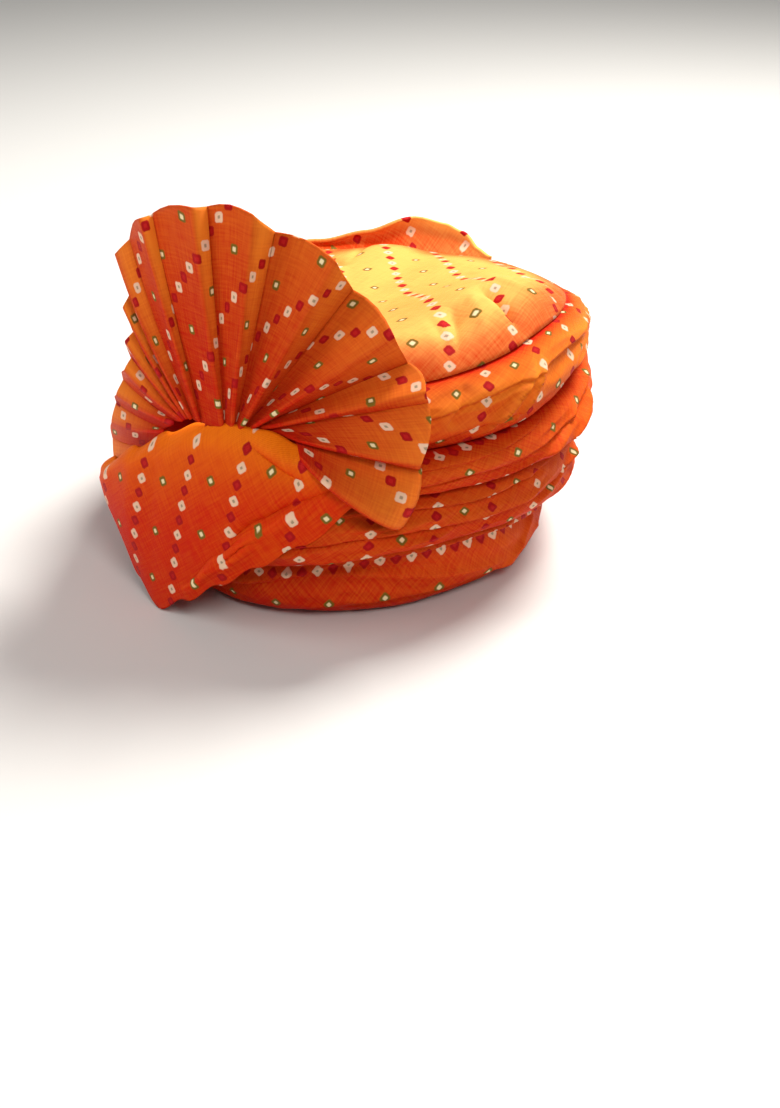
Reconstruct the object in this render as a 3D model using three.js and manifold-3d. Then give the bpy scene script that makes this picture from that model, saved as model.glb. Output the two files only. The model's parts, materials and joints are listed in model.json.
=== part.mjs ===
// A tied turban (pagri): four wound wraps round a head opening, a crown cloth over the top with a raised
// fold at its back, a smooth band across the forehead, and a pleated fan that stands up out of the band.
//
// Millimetres, +Z up. The wearer looks along -Y, and +X is the wearer's left. The turban stands on its rim
// at z = 0. Angles run round the head from the forehead (0) through the wearer's left (90) to the back (180).

import * as THREE from "three";
import { LoftGeometry } from "three/addons/geometries/LoftGeometry.js";
import { mergeVertices } from "three/addons/utils/BufferGeometryUtils.js";
import Module from "manifold-3d";

const wasm = await Module();
wasm.setup();

// Driving dimensions
const HEAD_LENGTH = 200; // head opening, front to back
const HEAD_WIDTH = 166; // head opening, side to side
const CLOTH = 2.4; // wall of the folded cloth layers
const SEAT_GAP = 0.4; // clearance between two pieces that lie on each other

// The wound wraps, from the rim up. Front and back are the heights of the crease above each wrap, and side
// what is added at the peak, an angle on the wearer's left, and across from it. Reach is how far the wrap
// bulges out from the head opening at the sides, bow what the forehead adds to it, and tail what the back
// adds. Ridges is the number of folds that run slantwise along the wrap, and drift their slant.
const FLOOR = { front: 0, back: 0, side: 0, peak: 0 };
const WRAPS = [
  {
    name: "wrap_rim", front: 33, back: 36, side: 16, peak: 62,
    reach: 31, bow: -7, tail: -5, ridges: 1, drift: 2,
  },
  {
    name: "wrap_lower", front: 76, back: 74, side: 5, peak: 72,
    reach: 45, bow: 0, tail: -4, ridges: 2, drift: 3,
  },
  {
    name: "wrap_upper", front: 95, back: 112, side: 2, peak: 110,
    reach: 51, bow: -18, tail: 2, ridges: 2, drift: -2,
  },
  {
    name: "wrap_top", front: 133, back: 132, side: 16, peak: 108,
    reach: 47, bow: -35, tail: 2, ridges: 2, drift: 3,
  },
];
const SIDE_FOCUS = 4; // how closely the raised sides keep to their peak
const RIDGE = 1.6; // depth of the folds along a wrap
const CREASE = 12.5; // depth of the groove between two wraps
const RIM_TUCK = 18; // how far the rim turns in under its bulge
const CREASE_LIMIT = 0.7; // largest share of a wrap's reach that the groove takes
const WRAP_STATIONS = 64; // sections round the head
const BULGE_POINTS = 11; // points over the bulge of one section
const BOW_FOCUS = 1.5; // how closely the bow keeps to the forehead

// The crown cloth: how far it puffs up above its seat, what its high side adds to that and where this is,
// how far its middle sags, and how square its shoulder is.
const CROWN_PUFF = 14;
const CROWN_SWING = 8;
const CROWN_HIGH_SIDE = 60;
const CROWN_SAG = 7;
const CROWN_SQUARENESS = 10;
const CROWN_SEAT_SHARE = 0.7; // share of the way to its edge at which it first meets the top wrap
const CROWN_SEAT_INSET = 2; // from the groove of the top wrap to the edge of the crown
const CROWN_RINGS = [0, 0.3, 0.55, 0.72, 0.83, 0.91, 0.96, 1]; // shares of the way to its edge

// The raised fold at the back of the crown: its height above the seat at each angle.
const CREST = [
  { angle: 180, rise: 2 },
  { angle: 187, rise: 4 },
  { angle: 193, rise: 12 },
  { angle: 198, rise: 16 },
  { angle: 206, rise: 18 },
  { angle: 220, rise: 9 },
  { angle: 234, rise: 4 },
  { angle: 246, rise: 2 },
];
const CREST_INSET = 9; // from the bulge of the top wrap to the foot of the fold
const CREST_LEAN = 7; // how far its middle leans outwards
const CREST_TURN = 135; // degrees of a bow that its height follows
const CREST_STEPS = 4;
const CREST_STATIONS = 22;

// The forehead band: heights of its lower and upper edge at each angle, and how far out from the head opening
// these edges lie, foot and brow.
const BAND = [
  { angle: -56, low: 27, high: 35, foot: 52, brow: 52 },
  { angle: -44, low: 26, high: 49, foot: 48, brow: 54 },
  { angle: -30, low: 20, high: 69, foot: 47, brow: 57 },
  { angle: -17, low: 10, high: 89, foot: 47, brow: 52 },
  { angle: -7, low: 1, high: 104, foot: 48, brow: 43 },
  { angle: 3, low: 16, high: 114, foot: 48, brow: 38 },
  { angle: 13, low: 33, high: 118, foot: 48, brow: 37 },
  { angle: 22, low: 48, high: 117, foot: 48, brow: 37 },
  { angle: 32, low: 63, high: 109, foot: 47, brow: 38 },
  { angle: 46, low: 87, high: 99, foot: 43.5, brow: 40 },
];
const BAND_SWELL = 4; // extra fullness at mid height
const BAND_ROLL = 7; // how far its upper edge rolls in over the root of the fan
const BAND_ROLL_SHARE = 0.12; // share of its height that rolls in
const BAND_STATIONS = 26;
const BAND_STEPS = 9;

// The fan: its root, the way it faces and how far it leans back.
const FAN_ROOT = new THREE.Vector3(32, -124, 115);
const FAN_FACING = 31; // towards the wearer's left
const FAN_LEAN = 8;
const FAN_THICKNESS = 2.2;
const FAN_HUB = 4; // radius at which the pleats leave the band
const FAN_BEND = 62; // radius that its wearer's-right half bends back round
const FAN_ROOT_DEPTH = 0.12; // share of a pleat's depth that is left at the hub
const FAN_DEPTH_EASE = 0.35; // how soon the pleats deepen on their way out from the hub
const FAN_SHARES = [0, 0.1, 0.22, 0.5, 0.78, 1]; // shares of the way from the hub to the edge

// The pleats, clockwise from the lower end on the wearer's right. Across and up are where a pleat leaves the
// band, in the plane of the fan from its root. Angle is that of the ridge, from the wearer's left up over the
// top, and reach is its length. Swell is how far it bows forward at mid length; depth is how far the ridge
// stands forward of the fold behind it; turn and fall are the angle and reach from one to the other.
const PLEATS = [
  { across: -51, up: -20, angle: 211, reach: 49, swell: 0, depth: 7, turn: 12, fall: -3 },
  { across: -47, up: -8, angle: 196, reach: 51, swell: 0, depth: 8, turn: 12, fall: 4 },
  { across: -40, up: -2, angle: 180, reach: 49, swell: 0, depth: 8, turn: 9, fall: 2 },
  { across: -34, up: 0, angle: 161, reach: 49, swell: 0, depth: 8, turn: 8, fall: 0 },
  { across: -33, up: 0, angle: 145, reach: 57, swell: 0, depth: 8, turn: 6, fall: 0 },
  { across: -32, up: 0, angle: 133, reach: 71, swell: 0, depth: 8, turn: 4, fall: -4 },
  { across: -30, up: 0, angle: 126, reach: 98, swell: 0, depth: 9, turn: 8, fall: -3 },
  { across: -26, up: -1, angle: 110, reach: 113, swell: 0, depth: 8, turn: 3, fall: 0 },
  { across: -13, up: -4, angle: 98, reach: 122, swell: 0, depth: 8, turn: 3, fall: 1 },
  { across: -9, up: -4, angle: 84, reach: 121, swell: 0, depth: 11, turn: 5, fall: 9 },
  { across: -7, up: -4, angle: 62, reach: 113, swell: 0, depth: 16, turn: 8, fall: 12 },
  { across: -1, up: 1, angle: 37, reach: 97, swell: 0, depth: 18, turn: 11, fall: 5 },
  { across: 3, up: 2, angle: 17, reach: 94, swell: 1, depth: 7, turn: 4, fall: 1 },
  { across: 20, up: 0.5, angle: -7, reach: 72, swell: 4, depth: 12, turn: 5, fall: 0 },
  { across: 24, up: -4, angle: -34, reach: 71, swell: 18, depth: 5, turn: 3, fall: 1 },
];

const FINE_SNAP = 0.001; // points of a swept shape that are closer than this become one
const CUT_SNAP = 0.04; // and points of a cut shape, so that a cut leaves no slivers
const COLOURS = { wrap: 0xd9541a, crown: 0xf0902c, band: 0xdb4d14, fan: 0xc84a1c };
const radians = THREE.MathUtils.degToRad;

// Value of one column of a table at an angle, eased from row to row
function column(table, name, angle) {
  const next = table.findIndex((row) => row.angle > angle);
  if (next === 0) return table[0][name];
  if (next < 0) return table[table.length - 1][name];
  const from = table[next - 1];
  const to = table[next];
  const share = THREE.MathUtils.smoothstep(angle, from.angle, to.angle);
  return THREE.MathUtils.lerp(from[name], to[name], share);
}

// Point round the head, a distance out from the opening
function roundHead(angle, out, z) {
  const x = (HEAD_WIDTH / 2 + out) * Math.sin(radians(angle));
  const y = -(HEAD_LENGTH / 2 + out) * Math.cos(radians(angle));
  return new THREE.Vector3(x, y, z);
}

// Height of the crease on top of a wrap
function creaseHeight(wrap, angle) {
  const share = (1 + Math.cos(radians(angle))) / 2;
  const raised = wrap.side * Math.cos(radians(angle - wrap.peak)) ** SIDE_FOCUS;
  return THREE.MathUtils.lerp(wrap.back, wrap.front, share) + raised;
}

// How far a wrap bulges out from the head opening
function wrapReach(wrap, angle) {
  const forward = Math.cos(radians(angle));
  const bow = wrap.bow * Math.max(0, forward) ** BOW_FOCUS;
  const tail = wrap.tail * Math.max(0, -forward);
  return wrap.reach + bow + tail;
}

// One section of a wrap: a flat inside against the head, flat beds above and below, and a bulge with folds
function wrapSection(wrap, below, angle, grow) {
  const bed = below === FLOOR ? 0 : SEAT_GAP;
  const low = creaseHeight(below, angle) + bed - grow;
  const high = creaseHeight(wrap, angle) + grow;
  const reach = wrapReach(wrap, angle) + grow;
  const crease = Math.min(CREASE, reach * CREASE_LIMIT);
  const tuck = below === FLOOR ? RIM_TUCK : crease;
  const section = [roundHead(angle, -grow, high), roundHead(angle, -grow, low)];
  for (let i = 0; i < BULGE_POINTS; i++) {
    const turn = (Math.PI * i) / (BULGE_POINTS - 1);
    const share = (1 - Math.cos(turn)) / 2;
    const phase = 2 * Math.PI * wrap.ridges * share + radians(angle) * wrap.drift;
    const fold = RIDGE * Math.sin(phase) * Math.sin(turn) ** 2;
    const groove = share < 0.5 ? tuck : crease;
    const out = reach - groove * (1 - Math.sin(turn)) + fold;
    section.push(roundHead(angle, out, THREE.MathUtils.lerp(low, high, share)));
  }
  return section;
}

function wrapSolid(wrap, below, grow = 0) {
  const sections = [];
  for (let i = 0; i <= WRAP_STATIONS; i++) {
    sections.push(wrapSection(wrap, below, (360 * (i % WRAP_STATIONS)) / WRAP_STATIONS, grow));
  }
  return solidOf(new LoftGeometry(sections));
}

// The crown cloth
const topWrap = WRAPS[WRAPS.length - 1];

function crownEdge(angle) {
  const reach = wrapReach(topWrap, angle);
  return reach - Math.min(CREASE, reach * CREASE_LIMIT) - CROWN_SEAT_INSET;
}

function crownHeight(angle, share) {
  const middle = (topWrap.front + topWrap.back) / 2;
  const near = THREE.MathUtils.smoothstep(share, 0, CROWN_SEAT_SHARE);
  const seat = THREE.MathUtils.lerp(middle, creaseHeight(topWrap, angle), near) + SEAT_GAP;
  const puff = CROWN_PUFF + CROWN_SWING * share * Math.cos(radians(angle - CROWN_HIGH_SIDE));
  const sag = CROWN_SAG * (1 - share ** 2) ** 2;
  return seat + puff * (1 - share ** CROWN_SQUARENESS) - sag;
}

function crownRing(share, lift, grow) {
  const ring = [];
  for (let i = 0; i < WRAP_STATIONS; i++) {
    const angle = (360 * i) / WRAP_STATIONS;
    const edge = roundHead(angle, crownEdge(angle) + grow, 0).multiplyScalar(share);
    ring.push(edge.setZ(crownHeight(angle, share) + lift));
  }
  return ring;
}

function crownSolid(grow = 0) {
  const outside = CROWN_RINGS.map((share) => crownRing(share, CLOTH + grow, grow));
  const inside = CROWN_RINGS.map((share) => crownRing(share, -grow, grow)).reverse();
  return solidOf(new LoftGeometry([...outside, ...inside]));
}

// The raised fold behind the crown: a wall that stands on the top wrap and leans out
function crestSection(angle) {
  const seat = creaseHeight(topWrap, angle) + SEAT_GAP;
  const foot = wrapReach(topWrap, angle) - CREST_INSET;
  const rise = column(CREST, "rise", angle);
  const inner = [];
  const outer = [];
  for (let i = 0; i <= CREST_STEPS; i++) {
    const share = i / CREST_STEPS;
    const lean = CREST_LEAN * Math.sin(radians(CREST_TURN) * share);
    inner.push(roundHead(angle, foot + lean - CLOTH, seat + rise * share));
    outer.push(roundHead(angle, foot + lean, seat + rise * share));
  }
  return [...inner, ...outer.reverse()];
}

function crestSolid() {
  const from = CREST[0].angle;
  const to = CREST[CREST.length - 1].angle;
  const sections = [];
  for (let i = 0; i <= CREST_STATIONS; i++) {
    sections.push(crestSection(THREE.MathUtils.lerp(from, to, i / CREST_STATIONS)));
  }
  return solidOf(new LoftGeometry(sections, { capStart: true, capEnd: true }));
}

// The forehead band: it swells over the wraps and rolls in over the root of the fan
function bandSection(angle, grow) {
  const [low, high, foot, brow] = ["low", "high", "foot", "brow"].map((name) => column(BAND, name, angle));
  const points = [];
  for (let i = 0; i <= BAND_STEPS; i++) {
    const share = i / BAND_STEPS;
    const roll = Math.max(0, share - 1 + BAND_ROLL_SHARE) / BAND_ROLL_SHARE;
    const swell = BAND_SWELL * Math.sin(Math.PI * share) - BAND_ROLL * roll ** 2;
    const out = THREE.MathUtils.lerp(foot, brow, share) + swell;
    points.push({ out, z: THREE.MathUtils.lerp(low, high, share) });
  }
  if (grow) {
    points.unshift({ out: points[0].out, z: low - grow });
    points.push({ out: points.at(-1).out, z: high + grow });
  }
  const inner = points.map(({ out, z }) => roundHead(angle, out - grow, z));
  const outer = points.map(({ out, z }) => roundHead(angle, out + CLOTH + grow, z));
  return [...inner, ...outer.reverse()];
}

function bandSolid(grow = 0) {
  const from = BAND[0].angle;
  const to = BAND[BAND.length - 1].angle;
  const angles = [];
  for (let i = 0; i <= BAND_STATIONS; i++) angles.push(THREE.MathUtils.lerp(from, to, i / BAND_STATIONS));
  if (grow) {
    const spread = THREE.MathUtils.radToDeg(grow / HEAD_LENGTH) * 2;
    angles.unshift(from - spread);
    angles.push(to + spread);
  }
  const sections = angles.map((angle) => bandSection(angle, grow));
  return solidOf(new LoftGeometry(sections, { capStart: true, capEnd: true }));
}

// The fan, in its own frame: across to the wearer's left, up, and forward
const fanForward = new THREE.Vector3(0, -1, 0)
  .applyAxisAngle(new THREE.Vector3(1, 0, 0), -radians(FAN_LEAN))
  .applyAxisAngle(new THREE.Vector3(0, 0, 1), radians(FAN_FACING));
const fanAcross = new THREE.Vector3(1, 0, 0).applyAxisAngle(new THREE.Vector3(0, 0, 1), radians(FAN_FACING));
const fanUp = fanForward.clone().cross(fanAcross);

function fanPoint(across, up, forward) {
  const back = Math.min(across, 0) ** 2 / (2 * FAN_BEND);
  return FAN_ROOT.clone()
    .addScaledVector(fanAcross, across)
    .addScaledVector(fanUp, up)
    .addScaledVector(fanForward, forward - back);
}

// Lines from the band to the edge: the ridge of each pleat, then the fold that lies behind it
function fanFolds() {
  return PLEATS.flatMap((pleat) => [
    { ...pleat, forward: pleat.depth / 2 },
    { ...pleat, angle: pleat.angle - pleat.turn, reach: pleat.reach - pleat.fall, forward: -pleat.depth / 2 },
  ]);
}

function fanSection(fold) {
  const line = (side) =>
    FAN_SHARES.map((share) => {
      const radius = THREE.MathUtils.lerp(FAN_HUB, fold.reach, share);
      const open = THREE.MathUtils.lerp(FAN_ROOT_DEPTH, 1, share ** FAN_DEPTH_EASE);
      const bow = fold.swell * Math.sqrt(4 * share * (1 - share));
      return fanPoint(
        fold.across + radius * Math.cos(radians(fold.angle)),
        fold.up + radius * Math.sin(radians(fold.angle)),
        fold.forward * open + bow + (side * FAN_THICKNESS) / 2,
      );
    });
  return [...line(-1), ...line(1).reverse()];
}

function fanSolid() {
  return solidOf(new LoftGeometry(fanFolds().map(fanSection), { capStart: true, capEnd: true }));
}

// Closed solid of a geometry, with its faces pointing out and without the empty triangles of a pole
function solidOf(geometry, snap = FINE_SNAP) {
  const bare = new THREE.BufferGeometry();
  bare.setAttribute("position", geometry.getAttribute("position"));
  bare.setIndex(geometry.index);
  const merged = mergeVertices(bare, snap);
  const vertProperties = new Float32Array(merged.getAttribute("position").array);
  const corners = [];
  for (let i = 0; i < merged.index.count; i += 3) {
    const triangle = [0, 1, 2].map((corner) => merged.index.getX(i + corner));
    if (new Set(triangle).size === 3) corners.push(...triangle);
  }
  const triVerts = new Uint32Array(corners);
  const make = () => new wasm.Manifold(new wasm.Mesh({ numProp: 3, vertProperties, triVerts }));
  if (make().volume() < 0) triVerts.reverse();
  return make();
}

// What is left of a solid once its neighbours, already grown by the seat gap, have taken their room
function clearOf(solid, neighbours) {
  const cut = neighbours.reduce((left, neighbour) => left.subtract(neighbour), solid);
  const most = cut.decompose().reduce((left, body) => (body.volume() > left.volume() ? body : left));
  return solidOf(geometryOf(most), CUT_SNAP);
}

function geometryOf(solid) {
  const { vertProperties, triVerts } = solid.getMesh();
  const geometry = new THREE.BufferGeometry();
  geometry.setAttribute("position", new THREE.BufferAttribute(vertProperties, 3));
  return geometry.setIndex(new THREE.BufferAttribute(triVerts, 1));
}

function meshOf(name, solid, colour) {
  const geometry = geometryOf(solid);
  geometry.computeVertexNormals();
  const material = new THREE.MeshStandardMaterial({ color: colour, roughness: 0.6, metalness: 0 });
  const mesh = new THREE.Mesh(geometry, material);
  mesh.name = name;
  return mesh;
}

// Assembly: each piece gives way to those under it
const turban = new THREE.Group();
const below = (i) => (i ? WRAPS[i - 1] : FLOOR);
const wrapRoom = WRAPS.map((wrap, i) => wrapSolid(wrap, below(i), SEAT_GAP));
WRAPS.forEach((wrap, i) => turban.add(meshOf(wrap.name, wrapSolid(wrap, below(i)), COLOURS.wrap)));

const crownRoom = crownSolid(SEAT_GAP);
const bandRoom = bandSolid(SEAT_GAP);
turban.add(meshOf("crown_cloth", crownSolid(), COLOURS.crown));
turban.add(meshOf("crown_fold", clearOf(crestSolid(), [wrapRoom.at(-1), crownRoom]), COLOURS.crown));
turban.add(meshOf("forehead_band", clearOf(bandSolid(), wrapRoom), COLOURS.band));
turban.add(meshOf("fan", clearOf(fanSolid(), [...wrapRoom, crownRoom, bandRoom]), COLOURS.fan));

// The frame's origin is under the middle of the turban's own box
const box = new THREE.Box3().setFromObject(turban);
const middle = box.getCenter(new THREE.Vector3());
turban.children.forEach((mesh) => mesh.position.set(-middle.x, -middle.y, -box.min.z));

export default turban;
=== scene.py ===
"""Dresses a tied turban (pagri): wound wraps, a drawn crown, a forehead band and a pleated fan.

Lengths are in metres. Angles round the head run in degrees from the forehead, through the
wearer's left, to the back. The reach of a wrap is how far it stands out from the oval head opening.
"""

import json
import logging
import math
from abc import ABC, abstractmethod
from dataclasses import dataclass, replace
from enum import Enum, IntEnum
from typing import Sequence

import bmesh
import bpy
import numpy as np
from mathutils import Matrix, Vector

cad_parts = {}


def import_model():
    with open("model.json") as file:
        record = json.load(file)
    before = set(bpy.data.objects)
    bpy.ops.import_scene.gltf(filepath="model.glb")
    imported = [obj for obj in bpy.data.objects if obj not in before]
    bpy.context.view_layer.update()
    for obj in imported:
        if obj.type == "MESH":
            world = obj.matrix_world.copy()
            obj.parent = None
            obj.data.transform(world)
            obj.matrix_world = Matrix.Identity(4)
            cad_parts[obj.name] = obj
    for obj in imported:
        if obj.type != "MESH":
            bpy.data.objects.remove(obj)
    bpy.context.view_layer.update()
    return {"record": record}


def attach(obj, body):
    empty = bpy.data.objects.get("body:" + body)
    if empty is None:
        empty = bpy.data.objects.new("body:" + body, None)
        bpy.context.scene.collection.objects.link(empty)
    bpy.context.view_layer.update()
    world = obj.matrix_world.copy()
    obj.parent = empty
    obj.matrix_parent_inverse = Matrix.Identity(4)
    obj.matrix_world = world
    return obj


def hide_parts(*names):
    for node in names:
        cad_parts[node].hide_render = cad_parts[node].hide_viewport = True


LOG = logging.getLogger("pagri")
CLOTH_MAP = "cloth"
# Name of the per-point layer of painted light and shade, by which each cloth's colour is mixed.
FADE = "fade"
# Direction of the painted light: faces turned towards it are painted lighter, faces turned away get
# painted shade.
PAINTED_LIGHT_DIRECTION = Vector((0.30, 0.35, 0.90)).normalized()
MERGE_GAP = 1e-6
SEAT_GAP = 0.0004
FULL_TURN = 360.0
NOISE_CELLS = 64
NOISE_MIDDLE = 0.5
HALF_GRID = 0.5
FOLD_FADE = 0.22

Array = np.ndarray
Colour = tuple[float, float, float, float]
Socket = bpy.types.NodeSocket
Threads = tuple[Socket, Socket]


class Slot(Enum):
    """The record's material slots."""

    WRAP = "wrap_cloth"
    CROWN = "crown_cloth"
    BAND = "band_cloth"
    FAN = "fan_cloth"


class Held(Enum):
    """How a sheet of cloth is held in the tied turban."""

    GATHERED = "gathered"
    FOLDED = "folded"
    STRETCHED = "stretched"


def smoothstep(value: Array) -> Array:
    """Eases from 0 to 1.

    Args:
        value: Share of the way, clipped to 0 to 1.

    Returns:
        The eased share.
    """
    share = np.clip(value, 0.0, 1.0)
    return share * share * (3.0 - 2.0 * share)


def between(start: Array, end: Array, share: Array) -> Array:
    """Returns the value that lies at share of the way from start to end."""
    return start + (end - start) * share


def column(rows: Sequence[object], name: str, angle: Array) -> Array:
    """Reads one column of a table, eased from row to row.

    Args:
        rows: Table rows with an angle each, in rising order.
        name: The column's field.
        angle: Where to read it.

    Returns:
        The column's value at each angle.
    """
    angles = np.array([row.angle for row in rows])
    values = np.array([getattr(row, name) for row in rows])
    row = np.clip(np.searchsorted(angles, angle, side="right") - 1, 0, len(rows) - 2)
    share = (angle - angles[row]) / (angles[row + 1] - angles[row])
    return between(values[row], values[row + 1], smoothstep(share))


def spread(rows: Sequence[object], share: Array) -> Array:
    """Returns the angle at each share of the way from a table's first row to its last."""
    return between(rows[0].angle, rows[-1].angle, share)


def cloth_noise(x: Array, y: Array, seed: int, period: int = NOISE_CELLS) -> Array:
    """Smooth noise with one bump a unit, the same on each run.

    Args:
        x: Place along the first direction, which repeats after period units.
        y: Place along the second direction.
        seed: Which noise.
        period: Units after which x repeats.

    Returns:
        Values from -1 to 1.
    """
    lattice = np.random.default_rng(seed).uniform(-1.0, 1.0, (NOISE_CELLS, NOISE_CELLS))
    cell_x = np.floor(x).astype(int)
    cell_y = np.floor(y).astype(int)
    share_x = smoothstep(x - cell_x)
    share_y = smoothstep(y - cell_y)

    def corner(step_x: int, step_y: int) -> Array:
        """Returns the lattice value at one corner of each cell."""
        return lattice[(cell_x + step_x) % period, (cell_y + step_y) % NOISE_CELLS]

    low = between(corner(0, 0), corner(1, 0), share_x)
    high = between(corner(0, 1), corner(1, 1), share_x)
    return between(low, high, share_y)


def crumple(along: Array, across: Array, seed: int, period: int = NOISE_CELLS) -> Array:
    """Returns noise with sharp crests and soft hollows, from -1 to 1."""
    return 1.0 - 2.0 * np.abs(cloth_noise(along, across, seed, period))


@dataclass(frozen=True)
class Fold:
    """One pleat edge or crease in a cloth.

    Attributes:
        start: Where it begins, as (along, across) in the piece's own terms.
        end: Where it ends.
        height: How far it stands out, negative for a crease.
        steep: Distance over which its steep flank falls.
        gentle: Distance over which its other flank falls.
    """

    start: tuple[float, float]
    end: tuple[float, float]
    height: float
    steep: float = 0.0014
    gentle: float = 0.0075

    def relief(self, along: Array, across: Array, along_scale: float, across_scale: Array) -> Array:
        """Works out how far the fold lifts each point of the cloth.

        Args:
            along: The points' first place, measured from the fold's start.
            across: The points' second place.
            along_scale: Metres to a unit of the first place.
            across_scale: Metres to a unit of the second place.

        Returns:
            The lift in metres.
        """
        run_x = (self.end[0] - self.start[0]) * along_scale
        run_y = (self.end[1] - self.start[1]) * across_scale
        length = np.hypot(run_x, run_y)
        x = along * along_scale
        y = (across - self.start[1]) * across_scale
        share = (x * run_x + y * run_y) / length**2
        off = (y * run_x - x * run_y) / length
        fade = smoothstep(share / FOLD_FADE) * smoothstep((1.0 - share) / FOLD_FADE)
        flank = np.where(off > 0.0, off / self.steep, -off / self.gentle)
        return self.height * fade * np.exp(-flank)


@dataclass(frozen=True)
class PrintLay:
    """How the printed cloth lies on a piece: turned, then shifted across its rows."""

    turn: float = 0.0
    across: float = 0.0

    def place(self, right: Array, up: Array) -> Array:
        """Turns places on a piece into places on the printed cloth.

        Args:
            right: Distance to the right on the piece.
            up: Distance up the piece.

        Returns:
            Rows of (across the print's rows, along them).
        """
        turn = math.radians(self.turn)
        across = right * math.cos(turn) - up * math.sin(turn) + self.across
        along = right * math.sin(turn) + up * math.cos(turn)
        return np.column_stack((across, along))


@dataclass(frozen=True)
class BlockPrint:
    """The traditional print: rows of white and red diamonds with green rings between the rows.

    Attributes:
        step: From one diamond to the next along a row.
        row_gap: From one row to the next.
        diamond: Half a diamond's width.
        blunt: How strongly its corners are cut off, 1 for not at all.
        ring_step: From one ring to the next.
        repeat_rows: Rows after which the whole print repeats.
        repeat_steps: Steps after which it repeats along the rows.
    """

    step: float = 0.0090
    row_gap: float = 0.036
    diamond: float = 0.0037
    blunt: float = 1.2
    white_dot: float = 0.0011
    red_heart: float = 0.0016
    ring_step: float = 0.0315
    ring: float = 0.0036
    ring_heart: float = 0.0017
    soft_edge: float = 0.0005
    repeat_rows: int = 2
    repeat_steps: int = 14
    white: Colour = (0.88, 0.58, 0.40, 1.0)
    dot: Colour = (0.40, 0.28, 0.18, 1.0)
    red: Colour = (0.43, 0.006, 0.008, 1.0)
    heart: Colour = (0.54, 0.014, 0.014, 1.0)
    green: Colour = (0.20, 0.125, 0.015, 1.0)
    cream: Colour = (0.92, 0.76, 0.45, 1.0)

    def repeat(self) -> tuple[float, float]:
        """Returns how far apart the whole print repeats across its rows and along them."""
        return self.repeat_rows * self.row_gap, self.repeat_steps * self.step


class NodeBoard:
    """Adds and links the nodes of one material, with a colour mix's sockets known by their places."""

    MIX_LOW = 6
    MIX_HIGH = 7
    MIX_RESULT = 2

    def __init__(self, material: bpy.types.Material) -> None:
        """Clears the material's node tree.

        Args:
            material: The material to build.
        """
        material.use_nodes = True
        self.tree = material.node_tree
        self.tree.nodes.clear()

    def node(self, kind: str, **settings: object) -> bpy.types.Node:
        """Adds a node.

        Args:
            kind: The node's type.
            settings: Properties to set on it.

        Returns:
            The new node.
        """
        made = self.tree.nodes.new(kind)
        for name, value in settings.items():
            setattr(made, name, value)
        return made

    def feed(self, socket: Socket, value: object) -> None:
        """Links an output to a socket, or sets the socket to a plain value.

        Args:
            socket: The input to feed.
            value: Another node's output, or a plain value.
        """
        if isinstance(value, Socket):
            self.tree.links.new(value, socket)
        else:
            socket.default_value = value

    def math(self, operation: str, *values: object) -> Socket:
        """Adds a Math node.

        Args:
            operation: What it works out.
            values: Its inputs, as other nodes' outputs or plain values.

        Returns:
            Its result.
        """
        made = self.node("ShaderNodeMath", operation=operation)
        for socket, value in zip(made.inputs, values):
            self.feed(socket, value)
        return made.outputs[0]

    def mix(self, share: Socket, low: object, high: object) -> Socket:
        """Adds a colour mix.

        Args:
            share: How much of the second colour counts.
            low: The first colour.
            high: The second colour.

        Returns:
            The mixed colour.
        """
        made = self.node("ShaderNodeMix", data_type="RGBA")
        self.feed(made.inputs["Factor"], share)
        self.feed(made.inputs[self.MIX_LOW], low)
        self.feed(made.inputs[self.MIX_HIGH], high)
        return made.outputs[self.MIX_RESULT]

    def noise(self, place: Socket, scale: float, detail: float) -> Socket:
        """Adds a noise texture.

        Args:
            place: Where it is read.
            scale: Bumps to a unit.
            detail: How many finer layers it has.

        Returns:
            Its value, from 0 to 1.
        """
        made = self.node("ShaderNodeTexNoise")
        self.feed(made.inputs["Vector"], place)
        made.inputs["Scale"].default_value = scale
        made.inputs["Detail"].default_value = detail
        return made.outputs["Fac"]

    def swing(self, place: Socket, scale: float, detail: float) -> Socket:
        """Returns a noise texture's value less its middle, so that it swings about zero."""
        return self.math("SUBTRACT", self.noise(place, scale, detail), NOISE_MIDDLE)


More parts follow.
